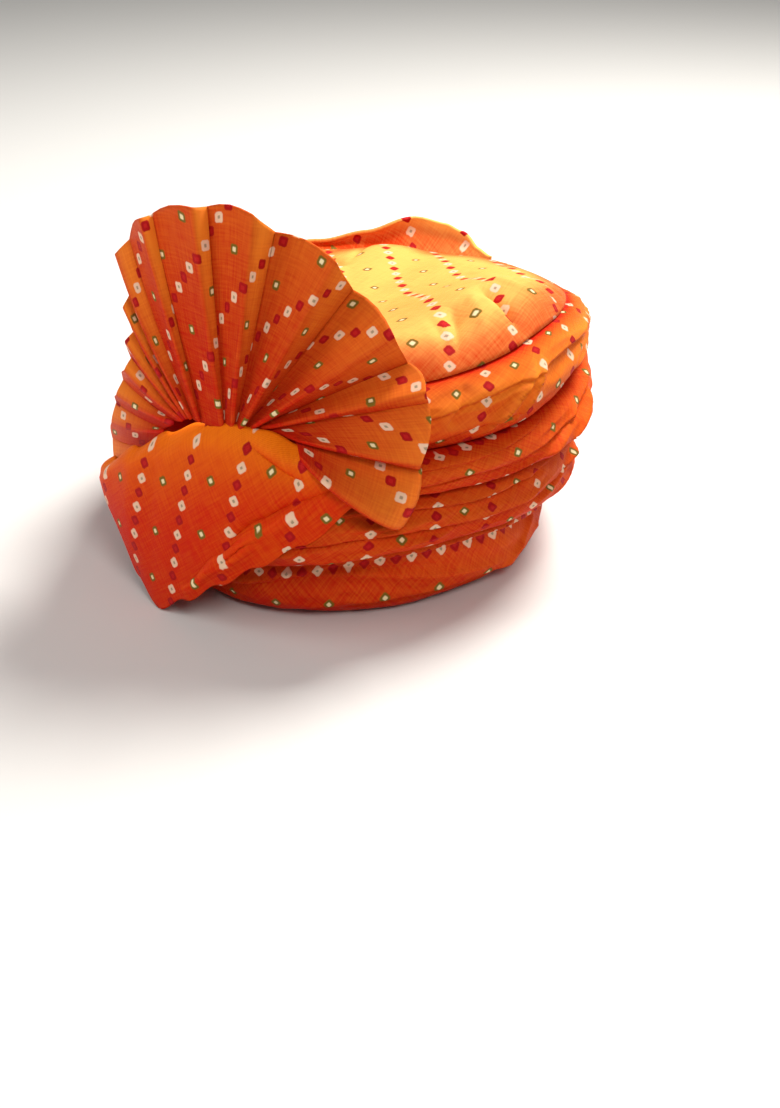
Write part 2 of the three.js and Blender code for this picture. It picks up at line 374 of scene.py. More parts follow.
@dataclass(frozen=True)
class PrintedCotton:
    """Dyed cotton with painted light and shade, uneven threads, the block print and a fine weave.

    Attributes:
        ground: Colour of the cloth where it lies open, its painted lit colour.
        deep: Its painted shade colour, in the creases.
        thread: From one thread to the next.
        patchy: How much the dye varies from patch to patch.
        slub: How much it varies from thread to thread.
        slub_long: Changes to a metre along a thread.
        slub_short: Changes to a metre across the threads.
        wobble: How far the print's edges wander.
        block: The print.
    """

    name: str
    ground: Colour
    deep: Colour
    roughness: float = 0.50
    specular: float = 0.06
    thread: float = 0.0008
    weave_depth: float = 0.00010
    patch_scale: float = 14.0
    patch_detail: float = 5.0
    patchy: float = 0.35
    slub: float = 0.40
    slub_long: float = 60.0
    slub_short: float = 900.0
    slub_detail: float = 1.0
    crinkle_scale: float = 75.0
    crinkle_detail: float = 4.0
    crinkle_depth: float = 0.0010
    crinkle_strength: float = 0.6
    wobble: float = 0.0011
    wobble_scale: float = 160.0
    wobble_detail: float = 2.0
    block: BlockPrint = BlockPrint()

    def material(self) -> bpy.types.Material:
        """Builds the material.

        Returns:
            The finished material.
        """
        made = bpy.data.materials.new(self.name)
        board = NodeBoard(made)
        place = board.node("ShaderNodeUVMap", uv_map=CLOTH_MAP).outputs["UV"]
        solid = board.node("ShaderNodeTexCoord").outputs["Object"]
        split = board.node("ShaderNodeSeparateXYZ")
        board.feed(split.inputs[0], place)
        shader = board.node("ShaderNodeBsdfPrincipled")
        # Painted light and shade, read from each piece's per-point layer.
        fade = board.node("ShaderNodeAttribute", attribute_name=FADE).outputs["Fac"]
        threads = self._threads(board, split)
        ground = self._ground(board, solid, threads, fade)
        board.feed(shader.inputs["Base Color"], self._printed(board, place, split, ground))
        shader.inputs["Roughness"].default_value = self.roughness
        shader.inputs["Specular IOR Level"].default_value = self.specular
        board.feed(shader.inputs["Normal"], self._weave(board, threads, solid))
        output = board.node("ShaderNodeOutputMaterial")
        board.feed(output.inputs["Surface"], shader.outputs["BSDF"])
        return made

    def _threads(self, board: NodeBoard, split: bpy.types.Node) -> Threads:
        """Finds places on the threads, which lie half a right angle from the print's rows.

        Args:
            board: The material's nodes.
            split: Place on the printed cloth, as single numbers.

        Returns:
            Places across the warp and across the weft.
        """
        sides = [board.math(way, split.outputs["X"], split.outputs["Y"]) for way in ("ADD", "SUBTRACT")]
        warp, weft = (board.math("MULTIPLY", side, math.sqrt(0.5)) for side in sides)
        return warp, weft

    def _ground(self, board: NodeBoard, solid: Socket, threads: Threads, fade: Socket) -> Socket:
        """Dyes the cloth, paler where light is painted on it and darker where shade is painted.

        Args:
            board: The material's nodes.
            solid: Place in the object.
            threads: Places across the warp and across the weft.
            fade: The painted light and shade.

        Returns:
            The ground colour, with painted light and shade, patches and uneven threads.
        """
        patch = board.swing(solid, self.patch_scale, self.patch_detail)
        share = board.math("MULTIPLY_ADD", patch, self.patchy, fade)
        for pace in ((self.slub_long, self.slub_short), (self.slub_short, self.slub_long)):
            streaks = board.node("ShaderNodeCombineXYZ")
            for socket, thread, scale in zip(streaks.inputs, threads, pace):
                board.feed(socket, board.math("MULTIPLY", thread, scale))
            streak = board.swing(streaks.outputs[0], 1.0, self.slub_detail)
            share = board.math("MULTIPLY_ADD", streak, self.slub, share)
        # Runs from the painted shade colour to the painted lit colour, with random patches and uneven
        # threads.
        return board.mix(share, self.deep, self.ground)

    def _inside(self, board: NodeBoard, distance: Socket, size: float) -> Socket:
        """Marks where a distance is under a size, with a soft edge.

        Args:
            board: The material's nodes.
            distance: The distance.
            size: The size.

        Returns:
            1 inside and 0 outside.
        """
        made = board.node("ShaderNodeMapRange", interpolation_type="SMOOTHSTEP")
        board.feed(made.inputs["Value"], distance)
        made.inputs["From Min"].default_value = size - self.block.soft_edge
        made.inputs["From Max"].default_value = size + self.block.soft_edge
        made.inputs["To Min"].default_value = 1.0
        made.inputs["To Max"].default_value = 0.0
        return made.outputs["Result"]

    def _diamond(
        self, board: NodeBoard, across: Socket, along: Socket, reach: tuple[float, float]
    ) -> Socket:
        """Finds the diamond distance to the nearest of a lattice of points.

        Args:
            board: The material's nodes.
            across: Place across the print's rows.
            along: Place along them.
            reach: Half the lattice's step across and along.

        Returns:
            The distance, summed along the two directions, with the corners blunted.
        """
        sides = [
            board.math("ABSOLUTE", board.math("WRAP", place, half, -half))
            for place, half in zip((across, along), reach)
        ]
        blunt = board.math("MULTIPLY", board.math("MAXIMUM", *sides), self.block.blunt)
        return board.math("MAXIMUM", board.math("ADD", *sides), blunt)

    def _printed(self, board: NodeBoard, place: Socket, split: bpy.types.Node, ground: Socket) -> Socket:
        """Lays the print over the ground colour.

        Args:
            board: The material's nodes.
            place: Place on the printed cloth.
            split: The same place as single numbers.
            ground: The cloth's own colour.

        Returns:
            The printed colour.
        """
        block = self.block
        tremor = board.swing(place, self.wobble_scale, self.wobble_detail)
        across = board.math("MULTIPLY_ADD", tremor, self.wobble, split.outputs["X"])
        along = board.math("MULTIPLY_ADD", tremor, -self.wobble, split.outputs["Y"])
        half_row = block.row_gap / 2
        half_ring = block.ring_step / 2
        white = self._diamond(board, across, along, (half_row, block.step))
        next_along = board.math("ADD", along, block.step)
        red = self._diamond(board, across, next_along, (half_row, block.step))
        ring_lattice = (block.row_gap, half_ring)
        before = board.math("SUBTRACT", across, half_row)
        after = board.math("ADD", across, half_row)
        first = self._diamond(board, before, along, ring_lattice)
        second = self._diamond(board, after, board.math("ADD", along, half_ring), ring_lattice)
        ring = board.math("MINIMUM", first, second)
        layers = (
            (red, block.diamond, block.red),
            (red, block.red_heart, block.heart),
            (white, block.diamond, block.white),
            (white, block.white_dot, block.dot),
            (ring, block.ring, block.green),
            (ring, block.ring_heart, block.cream),
        )
        colour = ground
        for distance, size, dye in layers:
            colour = board.mix(self._inside(board, distance, size), colour, dye)
        return colour

    def _weave(self, board: NodeBoard, threads: Threads, solid: Socket) -> Socket:
        """Raises the cloth's threads and fine crinkles.

        Args:
            board: The material's nodes.
            threads: Places across the warp and across the weft.
            solid: Place in the object.

        Returns:
            The normal of the woven cloth.
        """
        pace = 2.0 * math.pi / self.thread
        waves = [board.math("SINE", board.math("MULTIPLY", thread, pace)) for thread in threads]
        weave = board.node("ShaderNodeBump")
        weave.inputs["Distance"].default_value = self.weave_depth
        board.feed(weave.inputs["Height"], board.math("MULTIPLY", *waves))
        crinkles = board.node("ShaderNodeBump")
        crinkles.inputs["Strength"].default_value = self.crinkle_strength
        crinkles.inputs["Distance"].default_value = self.crinkle_depth
        board.feed(crinkles.inputs["Height"], board.noise(solid, self.crinkle_scale, self.crinkle_detail))
        board.feed(crinkles.inputs["Normal"], weave.outputs["Normal"])
        return crinkles.outputs["Normal"]


@dataclass(frozen=True)
class Head:
    """The oval head opening that every wrap lies round."""

    middle_y: float
    length: float = 0.200
    width: float = 0.166
    girth_radius: float = 0.0915
    inner_height: float = 0.05

    def place(self, angle: Array, out: Array, height: Array) -> Array:
        """Finds points round the head.

        Args:
            angle: Degrees round from the forehead.
            out: Distance outwards from the opening.
            height: Height above the rim.

        Returns:
            Rows of x, y and z.
        """
        turn = np.radians(angle)
        x = (self.width / 2 + out) * np.sin(turn)
        y = self.middle_y - (self.length / 2 + out) * np.cos(turn)
        return np.column_stack((x, y, height))

    def middle(self) -> Vector:
        """Returns a point well inside the head."""
        return Vector((0.0, self.middle_y, self.inner_height))


@dataclass(kw_only=True)
class ClothPiece(ABC):
    """One piece of cloth, shaped from a grid and dressed with a printed finish.

    Attributes:
        node: The CAD node that it replaces.
        slot: Its material slot.
        head: The head opening that it lies round.
        lay: How the print lies on it.
        columns: Faces along its grid, where u runs from 0 to 1.
        rows: Faces across its grid, where v runs from 0 to 1.
        thickness: How thick the cloth is, or 0 where its mesh is closed already.
    """

    node: str
    slot: Slot
    head: Head
    lay: PrintLay
    columns: int
    rows: int
    thickness: float = 0.0

    @abstractmethod
    def surface(self, u: Array, v: Array) -> Array:
        """Returns the points of the cloth at shares u and v of its grid."""

    @abstractmethod
    def cloth(self, u: Array, v: Array) -> Array:
        """Returns the places on the printed cloth at shares u and v of the grid."""

    @abstractmethod
    def painted_light(self, u: Array, v: Array) -> Array:
        """Returns the painted light, from 0 for painted shade in a crease to 1, or more where it is
        palest.
        """

    @abstractmethod
    def declare(self, piece: bpy.types.Object) -> None:
        """Does nothing in every piece here."""

    def build(self, finish: bpy.types.Material) -> None:
        """Makes the piece and sets it in the frame.

        Args:
            finish: The material that it wears.
        """
        piece = self._mesh()
        piece.data.materials.append(finish)
        if self.thickness:
            wall = piece.modifiers.new("wall", "SOLIDIFY")
            wall.thickness = self.thickness
            wall.offset = 1.0
        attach(piece, "root")
        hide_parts(self.node)
        self.declare(piece)
        LOG.info("%s: %d faces", piece.name, len(piece.data.polygons))

    def _mesh(self) -> bpy.types.Object:
        """Shapes a flat grid into the cloth.

        Returns:
            The cloth as an object, with its print map and the painted light and shade at each point.
        """
        sheet = bmesh.new()
        print_map = sheet.loops.layers.uv.new(CLOTH_MAP)
        bmesh.ops.create_grid(sheet, x_segments=self.columns, y_segments=self.rows, size=HALF_GRID)
        sheet.verts.index_update()
        flat = np.array([vert.co for vert in sheet.verts]) + HALF_GRID
        u = flat[:, 0]
        v = flat[:, 1]
        prints = self.cloth(u, v)
        # Painted light and shade, stored at each point.
        fade = sheet.verts.layers.float.new(FADE)
        for vert, point, share in zip(sheet.verts, self.surface(u, v), self.painted_light(u, v)):
            vert.co = point
            vert[fade] = share
        for face in sheet.faces:
            face.smooth = True
            for loop in face.loops:
                loop[print_map].uv = prints[loop.vert.index]
        bmesh.ops.remove_doubles(sheet, verts=sheet.verts, dist=MERGE_GAP)
        self._face_out(sheet)
        sheet.normal_update()
        # Painted light from one direction: faces turned away from it are darkened as painted shade.
        for vert in sheet.verts:
            vert[fade] *= (1.0 + vert.normal.dot(PAINTED_LIGHT_DIRECTION)) / 2
        mesh = bpy.data.meshes.new(self.node + "_cloth")
        sheet.to_mesh(mesh)
        sheet.free()
        piece = bpy.data.objects.new(self.node + "_dressed", mesh)
        bpy.context.scene.collection.objects.link(piece)
        return piece

    def _face_out(self, sheet: bmesh.types.BMesh) -> None:
        """Turns the faces away from the head.

        Args:
            sheet: The shaped cloth.
        """
        bmesh.ops.recalc_face_normals(sheet, faces=sheet.faces)
        middle = self.head.middle()
        lean = sum(
            (face.calc_center_median() - middle).dot(face.normal) * face.calc_area()
            for face in sheet.faces
        )
        if lean < 0.0:
            bmesh.ops.reverse_faces(sheet, faces=sheet.faces)


@dataclass(kw_only=True)
class Wrap(ClothPiece):
    """One wound wrap: a padded ring of cloth round the head.

    Attributes:
        front: Height of its upper crease at the forehead.
        back: Height of its upper crease at the back.
        side: How much higher the crease runs at the peak angle and opposite it.
        peak: Angle of that rise.
        reach: How far it stands out at the sides.
        bow: Added reach at the forehead.
        tail: Added reach at the back.
        below: The wrap that it rests on.
        folds: Pleat edges and creases, at angles round the head and shares of its height.
        plies: Layers of cloth whose edges show across its height.
        drift: How many layers the edges slip by in one turn round the head.
        winding: How many of the print's repeats lie across and along one turn round the head.
        pale: How strongly light is painted on its open folds.
        seed: Which noise crumples it.
        tuck: How far the lowest wrap is drawn in at the rim.
        crease: How deep the creases between wraps cut in.
    """

    front: float
    back: float
    side: float
    peak: float
    reach: float
    bow: float
    tail: float
    below: "Wrap | None"
    folds: Sequence[Fold]
    plies: float
    drift: int
    winding: tuple[int, int]
    pale: float
    seed: int
    tuck: float = 0.018
    crease: float = 0.0125
    crease_limit: float = 0.7
    side_focus: float = 4.0
    bow_focus: float = 1.5
    bulge_focus: float = 0.8
    wave: float = 0.0011
    wave_cells: int = 22
    crumple_cells: int = 14
    crumple_rows: float = 4.0
    crumple_depth: float = 0.0018
    slant_waves: float = 2.0
    fine_times: int = 3
    fine_rows: float = 2.1
    fine_share: float = 0.35
    ply_depth: float = 0.0072
    ply_edge: float = 0.10
    ply_fall: float = 0.8
    ply_middle: float = 0.5
    ply_sway: float = 0.35
    ply_cells: int = 9
    ply_step: float = 1.7
    ply_strength: float = 0.6
    ply_uneven: float = 0.4
    bulge_share: float = 0.72
    ledge_share: float = 0.07
    lining_share: float = 0.14
    # Painted light: darker low on the wrap, lighter high up and on the folds' crests.
    low_painted_light: float = 0.45
    high_painted_light: float = 1.1
    level_painted_light: float = 0.75
    crest_painted_light: float = 0.4

    def crease_height(self, angle: Array) -> Array:
        """Finds the height of the upper crease.

        Args:
            angle: Degrees round from the forehead.

        Returns:
            The height above the rim.
        """
        turn = np.radians(angle)
        level = between(self.back, self.front, (1.0 + np.cos(turn)) / 2)
        rise = self.side * np.cos(turn - math.radians(self.peak)) ** self.side_focus
        cells = angle / FULL_TURN * self.wave_cells
        wave = self.wave * cloth_noise(cells, np.zeros_like(cells), self.seed, self.wave_cells)
        return level + rise + wave

    def reach_at(self, angle: Array) -> Array:
        """Finds how far the wrap stands out.

        Args:
            angle: Degrees round from the forehead.

        Returns:
            The distance from the head opening.
        """
        facing = np.cos(np.radians(angle))
        bow = self.bow * np.maximum(facing, 0.0) ** self.bow_focus
        return self.reach + bow + self.tail * np.maximum(-facing, 0.0)

    def groove(self, angle: Array) -> Array:
        """Returns how deep the crease cuts in, which is less where the wrap is thin."""
        return np.minimum(self.crease, self.reach_at(angle) * self.crease_limit)

    def _bulge(self, u: Array, v: Array) -> tuple[Array, Array, Array]:
        """Returns the angle round the head, the turn over the bulge and the share of its height."""
        turn = np.clip(v / self.bulge_share, 0.0, 1.0) * math.pi
        return FULL_TURN * u - FULL_TURN / 2, turn, (1.0 - np.cos(turn)) / 2

    def _relief(self, angle: Array, share: Array, height: Array) -> Array:
        """Adds up the folds, the crumpled cloth and the layers' edges.

        Args:
            angle: Degrees round from the forehead.
            share: Share of the wrap's height.
            height: The wrap's height there.

        Returns:
            The lift in metres.
        """
        metres = math.radians(1.0) * (self.head.girth_radius + self.reach)
        lift = np.zeros_like(angle)
        for fold in self.folds:
            along = (angle - fold.start[0] + FULL_TURN / 2) % FULL_TURN - FULL_TURN / 2
            lift += fold.relief(along, share, metres, height)
        cells = angle / FULL_TURN * self.crumple_cells
        slant = share * self.crumple_rows + np.sin(np.radians(angle) * self.slant_waves + self.seed)
        lift += self.crumple_depth * crumple(cells, slant, self.seed + 1, self.crumple_cells)
        fine_cells = self.crumple_cells * self.fine_times
        fine = crumple(cells * self.fine_times, slant * self.fine_rows, self.seed + 2, fine_cells)
        return lift + self.crumple_depth * self.fine_share * fine + self._ply_edges(angle, share)

    def _ply_edges(self, angle: Array, share: Array) -> Array:
        """Works out the layers' edges, steep below each edge and gentle above it.

        Args:
            angle: Degrees round from the forehead.
            share: Share of the wrap's height.

        Returns:
            The lift in metres.
        """
        cells = angle / FULL_TURN * self.ply_cells
        sway = self.ply_sway * cloth_noise(cells, np.zeros_like(cells), self.seed + 3, self.ply_cells)
        place = self.plies * share + self.drift * angle / FULL_TURN + sway
        layer = np.floor(place)
        rest = place - layer
        uneven = self.ply_uneven * cloth_noise(cells, layer * self.ply_step, self.seed + 4, self.ply_cells)
        lift = smoothstep(rest / self.ply_edge) * (1.0 - rest) ** self.ply_fall - self.ply_middle
        return self.ply_depth * (self.ply_strength + uneven) * lift

    def surface(self, u: Array, v: Array) -> Array:
        """Shapes the ring: up the bulge, over the ledge, down the lining and back.

        Args:
            u: Share of the way round the head.
            v: Share of the way round the ring's section.

        Returns:
            Rows of x, y and z.
        """
        angle, turn, share = self._bulge(u, v)
        floor = self.below.crease_height(angle) + SEAT_GAP if self.below else np.zeros_like(u)
        top = self.crease_height(angle)
        crease = self.groove(angle)
        tuck = crease if self.below else np.full_like(u, self.tuck)
        groove = np.where(share < 0.5, tuck, crease)
        relief = self._relief(angle, share, top - floor) * np.sin(turn) ** self.bulge_focus
        reach = self.reach_at(angle)
        bulge = reach - groove * (1.0 - np.sin(turn)) + relief
        ledge = np.clip((v - self.bulge_share) / self.ledge_share, 0.0, 1.0)
        lining_start = self.bulge_share + self.ledge_share
        lining = np.clip((v - lining_start) / self.lining_share, 0.0, 1.0)
        foot_start = lining_start + self.lining_share
        foot = np.clip((v - foot_start) / (1.0 - foot_start), 0.0, 1.0)
        outer = v < lining_start + MERGE_GAP
        out = np.where(outer, bulge * (1.0 - ledge), (reach - tuck) * foot)
        height = np.where(outer, between(floor, top, share), between(top, floor, lining))
        return self.head.place(angle, out, height)

    def cloth(self, u: Array, v: Array) -> Array:
        """Lays the print along the wrap and up its bulge, so that it closes at the back.

        Args:
            u: Share of the way round the head.
            v: Share of the way round the ring's section.

        Returns:
            Places on the printed cloth.
        """
        across, along = (count * size for count, size in zip(self.winding, BlockPrint().repeat()))
        tall = self.front - (self.below.front if self.below else 0.0)
        girth = (tall + 2.0 * self.crease) * v / self.bulge_share
        lay = replace(self.lay, turn=math.degrees(math.atan2(along, across)))
        return lay.place((u - 0.5) * math.hypot(across, along), girth)

    def painted_light(self, u: Array, v: Array) -> Array:
        """Paints light on the bulge and the folds' crests, more towards the top, and painted shade in the
        creases.

        Args:
            u: Share of the way round the head.
            v: Share of the way round the ring's section.

        Returns:
            The painted light.
        """
        angle, turn, share = self._bulge(u, v)
        relief = self._relief(angle, share, np.full_like(u, self.front))
        crest = self.level_painted_light + relief / self.ply_depth * self.crest_painted_light
        level = self.pale * between(self.low_painted_light, self.high_painted_light, share)
        return level * np.clip(np.sin(turn) ** self.bulge_focus * crest, 0.0, 1.0)

    def declare(self, piece: bpy.types.Object) -> None:
        """Does nothing."""


@dataclass(kw_only=True)
class CrownCloth(ClothPiece):
    """The bright cloth drawn over the top of the head and tucked into the top wrap.

    Attributes:
        wrap: The wrap that it is tucked into.
        flat: Size of the cloth laid flat. Not used.
        folds: Creases and ridges, at places x and y.
        puff: How far it stands up.
        swing: How much more it stands up at the high side.
        sag: How far its middle sinks.
        row_angle: Angle that the print's rows point to.
        tucks: About how many tucks lie round its edge.
    """

    wrap: Wrap
    flat: tuple[float, float]
    folds: Sequence[Fold]
    seed: int = 71
    puff: float = 0.014
    swing: float = 0.008
    high_side: float = 60.0
    sag: float = 0.007
    squareness: float = 10.0
    seat_share: float = 0.7
    seat_inset: float = 0.002
    row_angle: float = 52.0
    print_steps: int = 24
    tucks: int = 22
    tuck_depth: float = 0.0040
    tuck_width: float = 0.16
    tuck_start: float = 0.60
    tuck_run: float = 0.35
    tuck_end: int = 12
    edge_shade: float = 0.75
    edge_start: float = 0.80
    edge_run: float = 0.18

    def _polar(self, u: Array, v: Array) -> tuple[Array, Array]:
        """Turns a square grid into a disc.

        Args:
            u: Share of the way across the grid.
            v: Share of the way along it.

        Returns:
            Angles, and shares of the way to the disc's edge.
        """
        side = 2.0 * u - 1.0
        end = 2.0 * v - 1.0
        x = side * np.sqrt(1.0 - end**2 / 2)
        y = end * np.sqrt(1.0 - side**2 / 2)
        return np.degrees(np.arctan2(x, -y)), np.hypot(x, y)

    def _rim(self, angle: Array) -> Array:
        """Returns where the cloth is tucked in, seen from above."""
        edge = self.wrap.reach_at(angle) - self.wrap.groove(angle) - self.seat_inset
        return self.head.place(angle, edge, np.zeros_like(angle))

    def _height(self, angle: Array, share: Array) -> Array:
        """Works out how high the cloth's underside stands.

        Args:
            angle: Degrees round from the forehead.
            share: Share of the way to the edge.

        Returns:
            The height above the rim.
        """
        middle = (self.wrap.front + self.wrap.back) / 2
        drop = smoothstep(share / self.seat_share)
        seat = between(middle, self.wrap.crease_height(angle), drop) + SEAT_GAP
        lean = np.cos(np.radians(angle - self.high_side))
        puff = (self.puff + self.swing * share * lean) * (1.0 - share**self.squareness)
        cells = angle / FULL_TURN * self.tucks
        puckers = cloth_noise(cells + share, np.zeros_like(cells), self.seed, self.tucks)
        tuck = puckers - np.exp(-((puckers / self.tuck_width) ** 2))
        rim = smoothstep((share - self.tuck_start) / self.tuck_run) * (1.0 - share**self.tuck_end)
        lift = self.tuck_depth * tuck * rim
        return seat + puff + lift - self.sag * (1.0 - share**2) ** 2

    def surface(self, u: Array, v: Array) -> Array:
        """Shapes the disc and presses the folds into it.

        Args:
            u: Share of the way across the grid.
            v: Share of the way along it.

        Returns:
            Rows of x, y and z.
        """
        angle, share = self._polar(u, v)
        axis = np.array([0.0, self.head.middle_y, 0.0])
        points = axis + (self._rim(angle) - axis) * share[:, None]
        points[:, 2] = self._height(angle, share)
        loose = 1.0 - share**self.squareness
        for fold in self.folds:
            along = points[:, 0] - fold.start[0]
            points[:, 2] += fold.relief(along, points[:, 1], 1.0, 1.0) * loose
        return points

    def cloth(self, u: Array, v: Array) -> Array:
        """Measures over the cloth from its middle.

        Args:
            u: Share of the way across the grid.
            v: Share of the way along it.

        Returns:
            Places on the printed cloth.
        """
        angle, share = self._polar(u, v)
        rim = self._rim(angle)
        radius = np.hypot(rim[:, 0], rim[:, 1] - self.head.middle_y)
        length = np.zeros_like(share)
        before = self._height(angle, np.zeros_like(share))
        for step in range(1, self.print_steps + 1):
            here = self._height(angle, share * step / self.print_steps)
            length += np.hypot(radius * share / self.print_steps, here - before)
            before = here
        turn = np.radians(angle - self.row_angle)
        return self.lay.place(length * np.sin(turn), length * np.cos(turn))

    def painted_light(self, u: Array, v: Array) -> Array:
        """Returns less painted light at the edge, where the cloth is tucked in: painted shade there."""
        share = self._polar(u, v)[1]
        return 1.0 - self.edge_shade * smoothstep((share - self.edge_start) / self.edge_run)

    def declare(self, piece: bpy.types.Object) -> None:
        """Does nothing."""


@dataclass(frozen=True)
class CrestRow:
    """Height of the raised fold at one angle."""

    angle: float
    rise: float


@dataclass(kw_only=True)
class CrownFold(ClothPiece):
    """The raised fold of cloth that stands at the back of the crown.

    Attributes:
        wrap: The wrap that it stands on.
        flat: Size of the cloth laid flat. Not used.
        crest: Its height from end to end.
        inset: How far inside the wrap's edge it stands.
        lean: How far it bulges outwards.
        turn: How far round its bulge turns, in degrees.
        splay: How much further its open end leans out.
        end_share: Share of its length over which each end flattens.
        used: Share of the flat cloth that the fold takes up. Not used.
    """

    wrap: Wrap
    flat: tuple[float, float]
    crest: Sequence[CrestRow]
    inset: float = 0.009
    lean: float = 0.007
    turn: float = 135.0
    ripple: float = 0.0009
    ripple_cells: float = 9.0
    ripple_rows: float = 2.0
    splay: float = 0.009
    end_share: float = 0.22
    open_share: float = 0.35
    open_run: float = 0.2
    # Painted light: brightest at the open end, darker at the foot, lighter towards the crest.
    open_end_painted_light: float = 1.5
    foot_painted_light: float = 0.1
    crest_painted_light: float = 0.7
    used: float = 0.6
    seed: int = 91

    def _shaded(self, u: Array) -> Array:
        """Returns 0 at the open end, which leans out, and 1 where the fold stands upright."""
        return smoothstep((u - self.open_share) / self.open_run)

    def surface(self, u: Array, v: Array) -> Array:
        """Shapes the fold's inner face, from its foot to its crest.

        Args:
            u: Share of the fold's length.
            v: Share of its height.

        Returns:
            Rows of x, y and z.
        """
        angle = spread(self.crest, u)
        ends = smoothstep(u / self.end_share) * smoothstep((1.0 - u) / self.end_share)
        swell = self.lean * np.sin(math.radians(self.turn) * v)
        ripple = self.ripple * cloth_noise(u * self.ripple_cells, v * self.ripple_rows, self.seed) * v
        open_end = self.splay * v * (1.0 - self._shaded(u))
        lift = (swell + ripple + open_end) * ends
        out = self.wrap.reach_at(angle) - self.inset + lift - self.thickness
        seat = self.wrap.crease_height(angle) + SEAT_GAP
        return self.head.place(angle, out, seat + column(self.crest, "rise", angle) * v)

    def cloth(self, u: Array, v: Array) -> Array:
        """Measures along the fold and up it.

        Args:
            u: Share of the fold's length.
            v: Share of its height.

        Returns:
            Places on the printed cloth.
        """
        angle = spread(self.crest, u)
        along = np.radians(angle) * (self.head.girth_radius + self.wrap.reach)
        return self.lay.place(along, column(self.crest, "rise", angle) * v)

    def painted_light(self, u: Array, v: Array) -> Array:
        """Returns more painted light at the open end and towards the crest, and painted shade at the foot.
        """
        return between(self.open_end_painted_light, between(self.foot_painted_light, self.crest_painted_light, v), self._shaded(u))

    def declare(self, piece: bpy.types.Object) -> None:
        """Does nothing."""


@dataclass(frozen=True)
class BandRow:
    """The forehead band at one angle: its edges' heights, and its reach at each edge."""

    angle: float
    low: float
    high: float
    foot: float
    brow: float


@dataclass(kw_only=True)
class ForeheadBand(ClothPiece):
    """The smooth band across the forehead, cut to a kite and rolled in at its top.

    Attributes:
        table: Its edges from the wearer's right to the left.
        flat: Size of the cloth laid flat. Not used.
        wraps: The wraps that it lies on. Not used.
        folds: Pleat edges and creases, at angles round the head and shares of its height.
        swell: How far it bulges out between its edges.
        roll: How far its top edge is rolled in.
        slack: How far the smooth cloth waves.
        fold_reach: How far out its folds are measured.
        print_radius: How far from the head's middle its print is measured.
        used: Share of the flat cloth that the kite takes up. Not used.
    """

    table: Sequence[BandRow]
    flat: tuple[float, float]
    wraps: Sequence[Wrap]
    folds: Sequence[Fold]
    swell: float = 0.004
    roll: float = 0.007
    roll_share: float = 0.12
    slack: float = 0.0009
    slack_angle: float = 14.0
    slack_rows: float = 2.5
    fold_reach: float = 0.05
    print_radius: float = 0.150
    # Painted light: darker at the foot, lighter towards the rolled top.
    foot_painted_light: float = 0.25
    top_painted_light: float = 1.15
    painted_light_start: float = 0.45
    painted_light_run: float = 0.55
    used: float = 0.62
    seed: int = 51

    def _edges(self, angle: Array) -> tuple[Array, Array]:
        """Returns the heights of the band's lower and upper edge."""
        return column(self.table, "low", angle), column(self.table, "high", angle)

    def surface(self, u: Array, v: Array) -> Array:
        """Shapes the band's inner face.

        Args:
            u: Share of the band's length.
            v: Share of its height.

        Returns:
            Rows of x, y and z.
        """
        angle = spread(self.table, u)
        low, high = self._edges(angle)
        reach = between(column(self.table, "foot", angle), column(self.table, "brow", angle), v)
        roll = np.maximum(0.0, v - (1.0 - self.roll_share)) / self.roll_share
        slack = self.slack * cloth_noise(angle / self.slack_angle + v, v * self.slack_rows, self.seed)
        metres = math.radians(1.0) * (self.head.girth_radius + self.fold_reach)
        lift = np.zeros_like(u)
        for fold in self.folds:
            lift += fold.relief(angle - fold.start[0], v, metres, high - low)
        out = reach + self.swell * np.sin(math.pi * v) - self.roll * roll**2 + slack + lift
        return self.head.place(angle, out, between(low, high, v))

    def cloth(self, u: Array, v: Array) -> Array:
        """Returns places along the band and up it."""
        angle = spread(self.table, u)
        return self.lay.place(np.radians(angle) * self.print_radius, between(*self._edges(angle), v))

    def painted_light(self, u: Array, v: Array) -> Array:
        """Returns more painted light towards the rolled top, and painted shade at the foot."""
        share = smoothstep((v - self.painted_light_start) / self.painted_light_run)
        return between(self.foot_painted_light, self.top_painted_light, share)

    def declare(self, piece: bpy.types.Object) -> None:
        """Does nothing.

        Args:
            piece: The finished band. Not used.
        """


@dataclass(frozen=True)
class Pleat:
    """One pleat: where it leaves the band, its ridge's angle and reach, and its fold back."""

    across: float
    up: float
    angle: float
    reach: float
    swell: float
    depth: float
    turn: float
    fall: float


class Line(IntEnum):
    """The columns of the fan's table of ridges and folds."""

    ACROSS = 0
    UP = 1
    ANGLE = 2
    REACH = 3
    FORWARD = 4
    SWELL = 5


